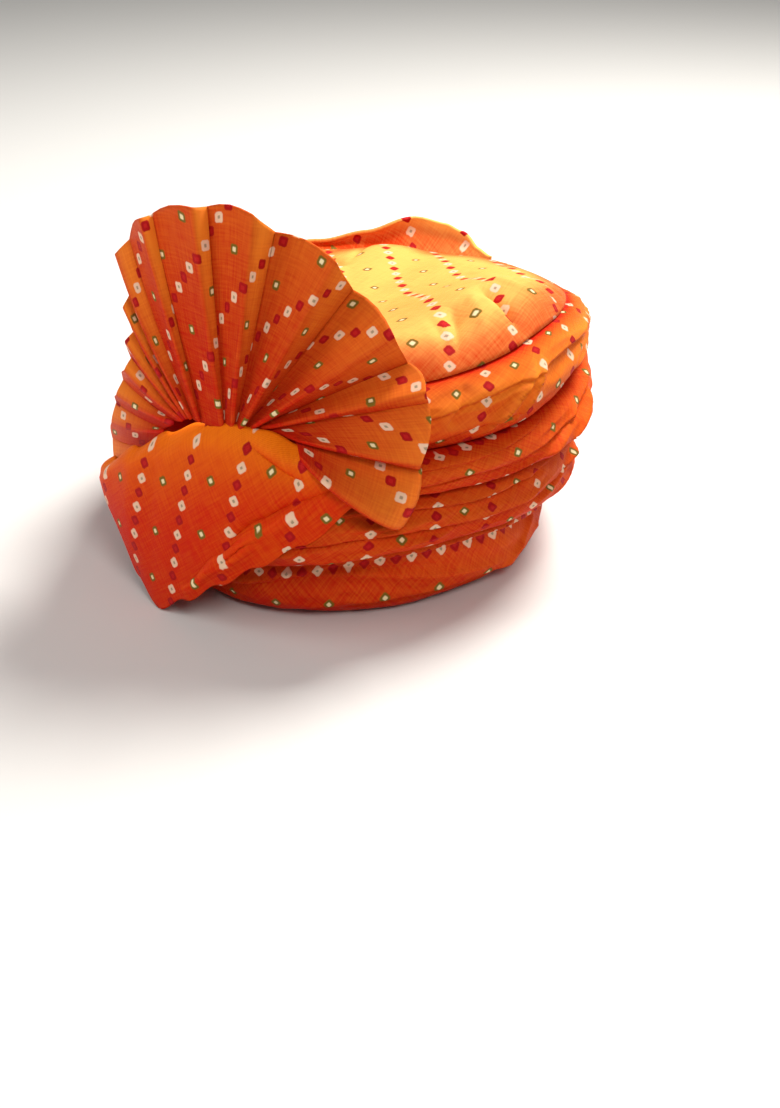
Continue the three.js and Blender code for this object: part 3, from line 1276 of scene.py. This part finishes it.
@dataclass(kw_only=True)
class PleatedFan(ClothPiece):
    """The starched fan: flat panels between ridges and folds that spread out from the band.

    Attributes:
        pleats: Its pleats, from the wearer's right to the left.
        flat: Size of the cloth laid flat. Not used.
        root: Point from which the pleats' feet are measured.
        band: The band that it stands in. Not used.
        facing: How far it faces to the wearer's left, in degrees.
        lean: How far it leans back, in degrees.
        hub: How far from its foot each pleat begins.
        bend: Radius of its curve round the forehead.
        root_depth: Share of the pleats' depth that is left at the root.
        panel_steps: Where the grid's columns lie across a panel.
        used: Share of the flat cloth that the fan takes up. Not used.
    """

    pleats: Sequence[Pleat]
    flat: tuple[float, float]
    root: tuple[float, float, float]
    band: ForeheadBand
    facing: float = 31.0
    lean: float = 8.0
    hub: float = 0.004
    bend: float = 0.062
    root_depth: float = 0.12
    depth_ease: float = 0.35
    panel_steps: tuple[float, ...] = (0.0, 0.03, 0.1, 0.27, 0.5, 0.73, 0.9, 0.97)
    rounding: float = 0.03
    bow: float = 0.0012
    flutter: float = 0.0010
    flutter_rows: float = 3.0
    scallop: float = 0.0030
    # Painted light on each narrow return.
    return_painted_light: float = 0.8
    used: float = 0.6
    seed: int = 31

    def _lines(self) -> Array:
        """Lists the ridges and folds in order.

        Returns:
            Rows with the columns of Line.
        """
        lines = []
        for pleat in self.pleats:
            foot = (pleat.across, pleat.up)
            back = (pleat.angle - pleat.turn, pleat.reach - pleat.fall)
            lines.append((*foot, pleat.angle, pleat.reach, pleat.depth / 2, pleat.swell))
            lines.append((*foot, *back, -pleat.depth / 2, pleat.swell))
        return np.array(lines)

    def _on_lines(self, lines: Array, v: Array) -> Array:
        """Finds flat places on the lines.

        Args:
            lines: Rows with the columns of Line.
            v: Share of the way out along each.

        Returns:
            Rows of across and up.
        """
        radius = between(self.hub, lines[:, Line.REACH], v)
        angle = np.radians(lines[:, Line.ANGLE])
        foot = lines[:, [Line.ACROSS, Line.UP]]
        return foot + np.column_stack((radius * np.cos(angle), radius * np.sin(angle)))

    def _panel(self, u: Array) -> tuple[Array, Array]:
        """Finds the panels that the grid's columns lie on.

        Args:
            u: Share of the grid's columns.

        Returns:
            Which panel each lies on, and how far across it.
        """
        steps = len(self.panel_steps)
        step = np.rint(u * self.columns).astype(int)
        panel = np.minimum(step // steps, self.columns // steps - 1)
        across = np.array((*self.panel_steps, 1.0))[step - panel * steps]
        return panel, across

    def _axes(self) -> tuple[Array, Array, Array]:
        """Works out which way the fan stands.

        Returns:
            The directions across, up and forward.
        """
        face = math.radians(self.facing)
        lean = math.radians(self.lean)
        across = np.array([math.cos(face), math.sin(face), 0.0])
        flat_ahead = np.array([math.sin(face), -math.cos(face), 0.0])
        forward = flat_ahead * math.cos(lean) + np.array([0.0, 0.0, math.sin(lean)])
        return across, np.cross(forward, across), forward

    def surface(self, u: Array, v: Array) -> Array:
        """Shapes the fan's back face, from its root to its edge.

        Args:
            u: Share of the grid's columns.
            v: Share of the way out.

        Returns:
            Rows of x, y and z.
        """
        panel, share = self._panel(u)
        lines = self._lines()
        start = lines[panel]
        end = lines[panel + 1]
        flat = between(self._on_lines(start, v), self._on_lines(end, v), share[:, None])
        middle = np.radians((start[:, Line.ANGLE] + end[:, Line.ANGLE]) / 2)
        edge = self.scallop * np.sin(math.pi * share) * v**2 * (panel % 2)
        flat += np.column_stack((edge * np.cos(middle), edge * np.sin(middle)))
        depth = between(self.root_depth, 1.0, v**self.depth_ease)
        rounded = share - self.rounding * np.sin(2.0 * math.pi * share)
        forward = between(start[:, Line.FORWARD], end[:, Line.FORWARD], rounded) * depth
        bulge = np.sin(math.pi * share) * v
        forward += self.bow * bulge * np.where(panel % 2 == 0, 1.0, -1.0)
        forward += self.flutter * cloth_noise(panel + share, v * self.flutter_rows, self.seed) * v
        swell = between(start[:, Line.SWELL], end[:, Line.SWELL], share)
        forward += swell * np.sqrt(4.0 * v * (1.0 - v))
        forward -= np.minimum(flat[:, 0], 0.0) ** 2 / (2.0 * self.bend)
        across, up, ahead = self._axes()
        root = np.array(self.root)
        return root + np.outer(flat[:, 0], across) + np.outer(flat[:, 1], up) + np.outer(forward, ahead)

    def cloth(self, u: Array, v: Array) -> Array:
        """Measures across the pleats and out along them.

        Args:
            u: Share of the grid's columns.
            v: Share of the way out.

        Returns:
            Places on the printed cloth.
        """
        panel, share = self._panel(u)
        lines = self._lines()
        tips = np.diff(self._on_lines(lines, np.ones(len(lines))), axis=0)
        widths = np.hypot(np.hypot(tips[:, 0], tips[:, 1]), np.diff(lines[:, Line.FORWARD]))
        edges = np.concatenate(([0.0], np.cumsum(widths)))
        across = edges[panel] + widths[panel] * share
        reach = between(lines[panel, Line.REACH], lines[panel + 1, Line.REACH], share)
        return self.lay.place(across, between(self.hub, reach, v))

    def painted_light(self, u: Array, v: Array) -> Array:
        """Paints light on the pleats towards the edge, and more on each narrow return, with painted shade
        towards the root.

        Args:
            u: Share of the grid's columns.
            v: Share of the way out.

        Returns:
            The painted light.
        """
        panel, share = self._panel(u)
        narrow = np.where(panel % 2 == 0, np.sin(math.pi * share), 0.0)
        return v + self.return_painted_light * narrow * v

    def declare(self, piece: bpy.types.Object) -> None:
        """Does nothing."""


@dataclass(frozen=True)
class AreaLight:
    """One soft studio light."""

    name: str
    place: tuple[float, float, float]
    size: float
    power: float
    colour: tuple[float, float, float]

    def build(self, target: Vector) -> None:
        """Sets the light up.

        Args:
            target: The point that it faces.
        """
        lamp = bpy.data.lights.new(self.name, "AREA")
        lamp.shape = "DISK"
        lamp.size = self.size
        lamp.energy = self.power
        lamp.color = self.colour
        light = bpy.data.objects.new(self.name, lamp)
        light.location = self.place
        light.rotation_euler = (target - light.location).to_track_quat("-Z", "Y").to_euler()
        bpy.context.scene.collection.objects.link(light)


@dataclass(frozen=True)
class Studio:
    """The pale floor, the lights, and the camera with its framing in the photograph's pixels."""

    target: tuple[float, float, float] = (0.0, 0.0, 0.090)
    azimuth: float = 40.0
    elevation: float = 24.0
    distance: float = 0.900
    photo_width: float = 780.0
    photo_height: float = 1108.0
    focal_pixels: float = 1500.0
    target_x: float = 355.0
    target_y: float = 386.0
    sensor: float = 36.0
    floor_size: float = 12.0
    floor_drop: float = 0.0004
    floor_colour: Colour = (0.72, 0.72, 0.71, 1.0)
    floor_roughness: float = 0.9
    world_colour: Colour = (1.0, 0.98, 0.96, 1.0)
    world_light: float = 0.16
    lights: tuple[AreaLight, ...] = (
        AreaLight("key", (0.10, 0.86, 1.42), 0.75, 47.0, (1.0, 0.96, 0.90)),
        AreaLight("fill", (-0.95, -1.20, 0.85), 1.0, 12.5, (1.0, 0.97, 0.94)),
        AreaLight("side", (1.00, -0.70, 1.15), 0.5, 8.5, (1.0, 0.96, 0.92)),
    )

    def build(self) -> None:
        """Builds the whole studio."""
        self._floor()
        self._world()
        for light in self.lights:
            light.build(Vector(self.target))
        self._camera()

    def _floor(self) -> None:
        """Lays a plain pale floor just under the rim."""
        sheet = bmesh.new()
        bmesh.ops.create_grid(sheet, x_segments=1, y_segments=1, size=self.floor_size / 2)
        bmesh.ops.translate(sheet, verts=sheet.verts, vec=(0.0, 0.0, -self.floor_drop))
        mesh = bpy.data.meshes.new("floor")
        sheet.to_mesh(mesh)
        sheet.free()
        floor = bpy.data.objects.new("floor", mesh)
        bpy.context.scene.collection.objects.link(floor)
        paint = bpy.data.materials.new("floor_paint")
        board = NodeBoard(paint)
        shader = board.node("ShaderNodeBsdfPrincipled")
        shader.inputs["Base Color"].default_value = self.floor_colour
        shader.inputs["Roughness"].default_value = self.floor_roughness
        output = board.node("ShaderNodeOutputMaterial")
        board.feed(output.inputs["Surface"], shader.outputs["BSDF"])
        mesh.materials.append(paint)

    def _world(self) -> None:
        """Lights the scene evenly from all round."""
        world = bpy.data.worlds.new("studio")
        world.use_nodes = True
        sky = world.node_tree.nodes["Background"]
        sky.inputs["Color"].default_value = self.world_colour
        sky.inputs["Strength"].default_value = self.world_light
        bpy.context.scene.world = world
        bpy.context.scene.view_settings.view_transform = "Standard"

    def _camera(self) -> None:
        """Sets the camera at the photograph's angle and framing."""
        data = bpy.data.cameras.new("camera")
        long_side = max(self.photo_width, self.photo_height)
        data.sensor_width = self.sensor
        data.lens = self.focal_pixels / long_side * self.sensor
        data.shift_x = (self.photo_width / 2 - self.target_x) / long_side
        data.shift_y = (self.target_y - self.photo_height / 2) / long_side
        camera = bpy.data.objects.new("camera", data)
        azimuth = math.radians(self.azimuth)
        elevation = math.radians(self.elevation)
        level = math.cos(elevation)
        back = Vector((math.sin(azimuth) * level, -math.cos(azimuth) * level, math.sin(elevation)))
        camera.location = Vector(self.target) + back * self.distance
        camera.rotation_euler = (-back).to_track_quat("-Z", "Y").to_euler()
        bpy.context.scene.collection.objects.link(camera)
        bpy.context.scene.camera = camera


# Each finish runs from a painted shade colour in the creases to a painted lit colour where the cloth lies
# open.
WRAP_FINISH = PrintedCotton("orange_cotton", (0.95, 0.250, 0.020, 1.0), (0.60, 0.012, 0.001, 1.0))
# The crown's colours are paler: partly its own paler cloth, partly painted light for the strong light on
# its top.
CROWN_FINISH = PrintedCotton("bright_cotton", (0.96, 0.480, 0.110, 1.0), (0.74, 0.050, 0.002, 1.0))
BAND_FINISH = PrintedCotton("smooth_cotton", (0.95, 0.200, 0.005, 1.0), (0.66, 0.016, 0.001, 1.0))
FAN_FINISH = PrintedCotton("starched_cotton", (0.92, 0.230, 0.020, 1.0), (0.58, 0.012, 0.002, 1.0))

BAND_TABLE = (
    BandRow(-56, 0.027, 0.035, 0.052, 0.052),
    BandRow(-44, 0.026, 0.049, 0.048, 0.054),
    BandRow(-30, 0.020, 0.069, 0.047, 0.057),
    BandRow(-17, 0.010, 0.089, 0.047, 0.052),
    BandRow(-7, 0.001, 0.104, 0.048, 0.043),
    BandRow(3, 0.016, 0.114, 0.048, 0.038),
    BandRow(13, 0.033, 0.118, 0.048, 0.037),
    BandRow(22, 0.048, 0.117, 0.048, 0.037),
    BandRow(32, 0.063, 0.109, 0.047, 0.038),
    BandRow(46, 0.087, 0.099, 0.0435, 0.040),
)
CREST = (
    CrestRow(180, 0.002),
    CrestRow(187, 0.004),
    CrestRow(193, 0.012),
    CrestRow(198, 0.016),
    CrestRow(206, 0.018),
    CrestRow(220, 0.009),
    CrestRow(234, 0.004),
    CrestRow(246, 0.002),
)
PLEATS = (
    Pleat(-0.051, -0.02, 211, 0.049, 0.000, 0.007, 12, -0.003),
    Pleat(-0.047, -0.008, 196, 0.051, 0.000, 0.008, 12, 0.004),
    Pleat(-0.040, -0.002, 180, 0.049, 0.000, 0.008, 9, 0.002),
    Pleat(-0.034, 0, 161, 0.049, 0.000, 0.008, 8, 0.000),
    Pleat(-0.033, 0, 145, 0.057, 0.000, 0.008, 6, 0.000),
    Pleat(-0.032, 0, 133, 0.071, 0.000, 0.008, 4, -0.004),
    Pleat(-0.030, 0, 126, 0.098, 0.000, 0.009, 8, -0.003),
    Pleat(-0.026, -0.001, 110, 0.113, 0.000, 0.008, 3, 0.000),
    Pleat(-0.013, -0.004, 98, 0.122, 0.000, 0.008, 3, 0.001),
    Pleat(-0.009, -0.004, 84, 0.121, 0.000, 0.011, 5, 0.009),
    Pleat(-0.007, -0.004, 62, 0.113, 0.000, 0.016, 8, 0.012),
    Pleat(-0.001, 0.001, 37, 0.097, 0.000, 0.018, 11, 0.005),
    Pleat(0.003, 0.002, 17, 0.094, 0.001, 0.007, 4, 0.001),
    Pleat(0.020, 0.0005, -7, 0.072, 0.004, 0.012, 5, 0.000),
    Pleat(0.024, -0.004, -34, 0.071, 0.018, 0.005, 3, 0.001),
)
RIM_FOLDS = (
    Fold((84, 0.22), (112, 0.72), 0.0026),
    Fold((30, 0.80), (75, 0.55), -0.0020),
    Fold((120, 0.70), (175, 0.35), -0.0039),
    Fold((180, 0.30), (240, 0.75), 0.0039),
    Fold((235, 0.70), (300, 0.35), -0.0039),
    Fold((295, 0.35), (345, 0.70), 0.0033),
    Fold((205, 0.25), (250, 0.55), 0.0036),
)
LOWER_FOLDS = (
    Fold((20, 0.30), (62, 0.62), 0.0036),
    Fold((30, 0.18), (70, 0.34), 0.0030),
    Fold((62, 0.70), (92, 0.78), -0.0026),
    Fold((88, 0.20), (124, 0.70), 0.0034),
    Fold((98, 0.14), (140, 0.55), 0.0030),
    Fold((140, 0.75), (200, 0.40), -0.0051),
    Fold((190, 0.25), (250, 0.65), 0.0051),
    Fold((245, 0.75), (310, 0.40), -0.0045),
    Fold((160, 0.15), (205, 0.60), 0.0048),
    Fold((222, 0.20), (280, 0.75), 0.0048),
)
UPPER_FOLDS = (
    Fold((60, 0.55), (94, 0.30), -0.0022),
    Fold((90, 0.14), (108, 0.90), 0.0034),
    Fold((97, 0.12), (120, 0.80), 0.0030),
    Fold((112, 0.55), (156, 0.30), -0.0048),
    Fold((150, 0.30), (210, 0.75), 0.0051),
    Fold((205, 0.65), (262, 0.30), -0.0045),
    Fold((260, 0.35), (320, 0.70), 0.0045),
    Fold((170, 0.15), (228, 0.55), 0.0048),
    Fold((225, 0.20), (285, 0.80), 0.0048),
)
TOP_FOLDS = (
    Fold((66, 0.40), (72, 1.00), -0.0024, 0.0012, 0.006),
    Fold((73, 0.05), (91, 1.00), 0.0058, 0.0012, 0.005),
    Fold((80, 0.08), (93, 0.98), 0.0048, 0.0012, 0.004),
    Fold((100, 0.25), (130, 0.80), -0.0030),
    Fold((118, 0.15), (152, 0.65), 0.0045),
    Fold((150, 0.70), (202, 0.30), -0.0045),
    Fold((190, 0.20), (250, 0.75), 0.0045),
    Fold((240, 0.30), (300, 0.65), -0.0042),
    Fold((290, 0.65), (340, 0.30), 0.0042),
    Fold((205, 0.25), (262, 0.60), 0.0040),
)
CROWN_FOLDS = (
    Fold((0.128, -0.066), (0.074, -0.006), -0.0075, 0.0035, 0.010),
    Fold((0.132, -0.004), (0.072, 0.020), -0.0085, 0.0035, 0.011),
    Fold((0.126, 0.056), (0.056, 0.052), -0.0075, 0.0035, 0.010),
    Fold((0.124, -0.030), (0.074, 0.008), 0.0035, 0.008, 0.010),
    Fold((0.124, 0.030), (0.066, 0.034), 0.0035, 0.008, 0.010),
    Fold((0.090, 0.110), (0.050, 0.066), -0.0050, 0.0035, 0.010),
    Fold((-0.120, 0.010), (-0.062, 0.004), -0.0050, 0.004, 0.010),
    Fold((-0.100, 0.080), (-0.050, 0.050), -0.0050, 0.004, 0.010),
)
BAND_FOLDS = (
    Fold((14, 0.28), (44, 0.70), -0.0040, 0.0016, 0.007),
    Fold((6, 0.10), (36, 0.42), 0.0026, 0.0012, 0.006),
    Fold((0, 0.06), (24, 0.20), 0.0022, 0.0012, 0.005),
    Fold((16, 0.97), (34, 0.72), -0.0022, 0.0014, 0.006),
    Fold((-48, 0.55), (-22, 0.92), 0.0014, 0.003, 0.010),
)


def wound_wraps(head: Head) -> list[Wrap]:
    """Sets out the four wraps from the rim up.

    Args:
        head: The head opening that they lie round.

    Returns:
        The wraps, lowest first.
    """
    shared = {"head": head, "slot": Slot.WRAP, "columns": 576, "rows": 78}
    rim = Wrap(
        node="wrap_rim", lay=PrintLay(across=0.003), front=0.033, back=0.036, side=0.016, peak=62,
        reach=0.031, bow=-0.007, tail=-0.005, below=None, folds=RIM_FOLDS, seed=11,
        plies=1.8, drift=-1, winding=(0, 6), pale=0.42, **shared,
    )
    lower = Wrap(
        node="wrap_lower", lay=PrintLay(), front=0.076, back=0.074, side=0.005, peak=72,
        reach=0.045, bow=0.0, tail=-0.004, below=rim, folds=LOWER_FOLDS, seed=12,
        plies=2.8, drift=-2, winding=(12, 1), pale=0.50, **shared,
    )
    upper = Wrap(
        node="wrap_upper", lay=PrintLay(across=-0.008), front=0.095, back=0.112, side=0.002, peak=110,
        reach=0.051, bow=-0.018, tail=0.002, below=lower, folds=UPPER_FOLDS, seed=13,
        plies=2.5, drift=-2, winding=(1, 7), pale=0.58, **shared,
    )
    top = Wrap(
        node="wrap_top", lay=PrintLay(across=0.010), front=0.133, back=0.132, side=0.016, peak=108,
        reach=0.047, bow=-0.035, tail=0.002, below=upper, folds=TOP_FOLDS, seed=14,
        plies=2.4, drift=-3, winding=(12, 2), pale=1.25, **shared,
    )
    return [rim, lower, upper, top]


def main() -> None:
    """Builds the turban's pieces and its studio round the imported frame."""
    logging.basicConfig(level=logging.INFO, format="%(name)s: %(message)s")
    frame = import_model()
    hollow = frame["record"]["physics"]["openings"][0]["box_m"]
    head = Head(middle_y=(hollow[0][1] + hollow[1][1]) / 2)
    wraps = wound_wraps(head)
    crown = CrownCloth(
        node="crown_cloth", slot=Slot.CROWN, head=head, lay=PrintLay(), columns=132, rows=132,
        thickness=0.0016, wrap=wraps[-1], flat=(0.24, 0.25), folds=CROWN_FOLDS,
    )
    crest = CrownFold(
        node="crown_fold", slot=Slot.CROWN, head=head, lay=PrintLay(turn=20.0), columns=120, rows=24,
        thickness=0.0024, wrap=wraps[-1], flat=(0.17, 0.022), crest=CREST,
    )
    band = ForeheadBand(
        node="forehead_band", slot=Slot.BAND, head=head, lay=PrintLay(turn=10.0, across=0.0072),
        columns=180, rows=72, thickness=0.0024, table=BAND_TABLE, flat=(0.26, 0.125), wraps=wraps,
        folds=BAND_FOLDS,
    )
    columns = (2 * len(PLEATS) - 1) * len(PleatedFan.panel_steps)
    fan = PleatedFan(
        node="fan", slot=Slot.FAN, head=head, lay=PrintLay(turn=45.0), columns=columns, rows=56,
        thickness=0.0012, pleats=PLEATS, flat=(0.60, 0.11), band=band,
        root=(0.032, -0.124 + head.middle_y, 0.115),
    )
    finishes = {
        Slot.WRAP: WRAP_FINISH.material(),
        Slot.CROWN: CROWN_FINISH.material(),
        Slot.BAND: BAND_FINISH.material(),
        Slot.FAN: FAN_FINISH.material(),
    }
    for piece in (*wraps, crown, crest, band, fan):
        piece.build(finishes[piece.slot])
    Studio().build()


if __name__ == "__main__":
    main()
